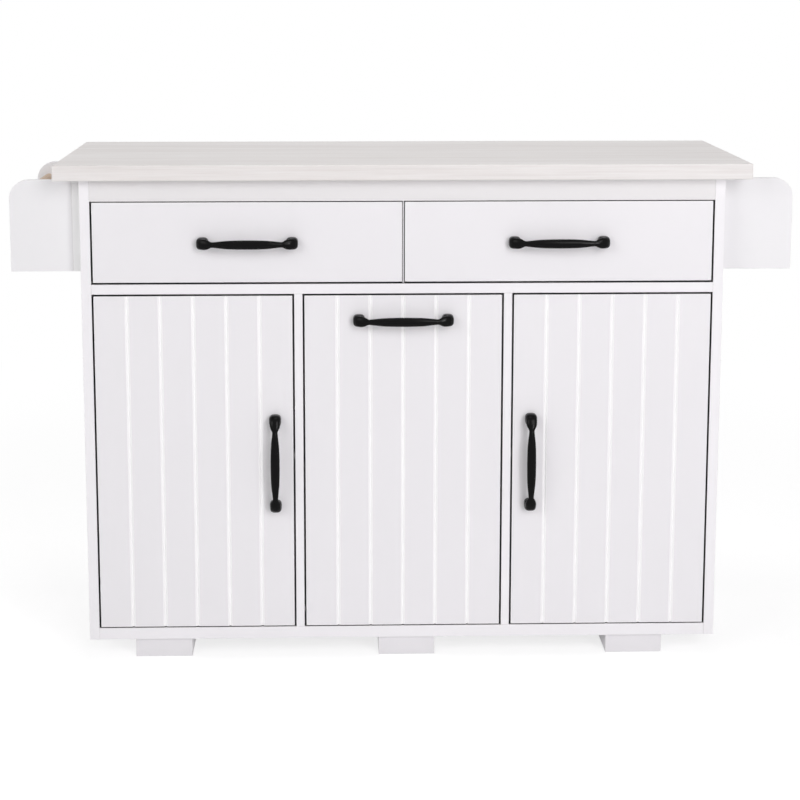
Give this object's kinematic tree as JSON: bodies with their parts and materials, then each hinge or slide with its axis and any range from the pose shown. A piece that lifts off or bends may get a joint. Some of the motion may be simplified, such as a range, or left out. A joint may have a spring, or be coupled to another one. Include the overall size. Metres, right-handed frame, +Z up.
{
  "type": "drop leaf kitchen island",
  "caption": "Painted kitchen island with drawers, beadboard doors, a pull-out bin unit, side racks and a rear drop leaf on folding brackets.",
  "frame": {"origin": "on the floor, at the middle of the island's overall width and depth with its leaf hanging down", "axes": "+X to the right seen from the front, +Y from the front to the back, +Z up"},
  "size_m": [1.416, 0.493, 0.917],
  "materials": {
    "white_paint": "white satin paint on board",
    "white_interior": "white laminate on board",
    "washed_top": "whitewashed wood, satin",
    "bar_wood": "natural wood, clear oil",
    "black_metal": "satin black enamel on cast metal",
    "steel": "zinc-plated steel"
  },
  "bodies": {
    "cabinet": {"side_panel_left": "white_paint", "side_panel_right": "white_paint", "divider_left": "white_paint", "divider_right": "white_paint", "bottom_panel": "white_paint", "back_panel": "white_paint", "drawer_deck": "white_paint", "drawer_divider": "white_paint", "top_rail_front": "white_paint", "shelf_left": "white_interior", "shelf_right": "white_interior", "foot_left": "white_paint", "foot_centre": "white_paint", "foot_right": "white_paint", "worktop": "washed_top", "left_drawer_slide_channel": "steel", "right_drawer_slide_channel": "steel", "bin_slide_channel": "steel", "left_door_hinge_arm_lower": "steel", "left_door_hinge_arm_upper": "steel", "right_door_hinge_arm_lower": "steel", "right_door_hinge_arm_upper": "steel", "leaf_hinge_fixed": "steel", "left_bracket_plate": "steel", "right_bracket_plate": "steel", "towel_rack_end_front": "white_paint", "towel_rack_end_rear": "white_paint", "towel_rack_board": "white_paint", "towel_bar": "bar_wood", "spice_rack_end_front": "white_paint", "spice_rack_end_rear": "white_paint", "spice_rack_shelf": "white_paint", "spice_rack_rail": "white_paint"},
    "left_drawer": {"left_drawer_front": "white_paint", "left_drawer_handle": "black_metal", "left_drawer_box": "white_interior", "left_drawer_bottom": "white_interior", "left_drawer_slide_rail": "steel"},
    "right_drawer": {"right_drawer_front": "white_paint", "right_drawer_handle": "black_metal", "right_drawer_box": "white_interior", "right_drawer_bottom": "white_interior", "right_drawer_slide_rail": "steel"},
    "bin_unit": {"bin_front": "white_paint", "bin_front_handle": "black_metal", "bin_carrier": "white_interior"},
    "left_door": {"left_door": "white_paint", "left_door_handle": "black_metal", "left_door_hinge_cup_lower": "steel", "left_door_hinge_cup_upper": "steel"},
    "right_door": {"right_door": "white_paint", "right_door_handle": "black_metal", "right_door_hinge_cup_lower": "steel", "right_door_hinge_cup_upper": "steel"},
    "leaf": {"drop_leaf": "washed_top", "leaf_hinge_moving": "steel", "left_bracket_channel": "steel", "right_bracket_channel": "steel"},
    "left_strut": {"left_bracket_strut": "steel"},
    "right_strut": {"right_bracket_strut": "steel"}
  },
  "joints": [
    {"name": "left_drawer_slide", "type": "slide", "parent": "cabinet", "child": "left_drawer", "axis": [0, -1, 0], "range_m": [0, 0.25]},
    {"name": "right_drawer_slide", "type": "slide", "parent": "cabinet", "child": "right_drawer", "axis": [0, -1, 0], "range_m": [0, 0.25]},
    {"name": "bin_slide", "type": "slide", "parent": "cabinet", "child": "bin_unit", "axis": [0, -1, 0], "range_m": [0, 0.27]},
    {"name": "left_door_hinge", "type": "hinge", "parent": "cabinet", "child": "left_door", "pos_m": [-0.552, -0.2095, 0.3695], "axis": [0, 0, -1], "range_deg": [0, 105]},
    {"name": "right_door_hinge", "type": "hinge", "parent": "cabinet", "child": "right_door", "pos_m": [0.552, -0.2095, 0.3695], "axis": [0, 0, 1], "range_deg": [0, 105]},
    {"name": "leaf_hinge", "type": "hinge", "parent": "cabinet", "child": "leaf", "pos_m": [0, 0.214, 0.8845], "axis": [1, 0, 0], "range_deg": [0, 90]},
    {"name": "left_strut_pivot", "type": "hinge", "parent": "cabinet", "child": "left_strut", "pos_m": [-0.428, 0.2085, 0.7845], "axis": [1, 0, 0], "range_deg": [0, 122.07]},
    {"name": "right_strut_pivot", "type": "hinge", "parent": "cabinet", "child": "right_strut", "pos_m": [0.428, 0.2085, 0.7845], "axis": [1, 0, 0], "range_deg": [0, 122.07]}
  ],
  "couplings": [
    {"joint": "left_strut_pivot", "follows": "leaf_hinge", "ratio": 1.3563},
    {"joint": "right_strut_pivot", "follows": "leaf_hinge", "ratio": 1.3563}
  ]
}
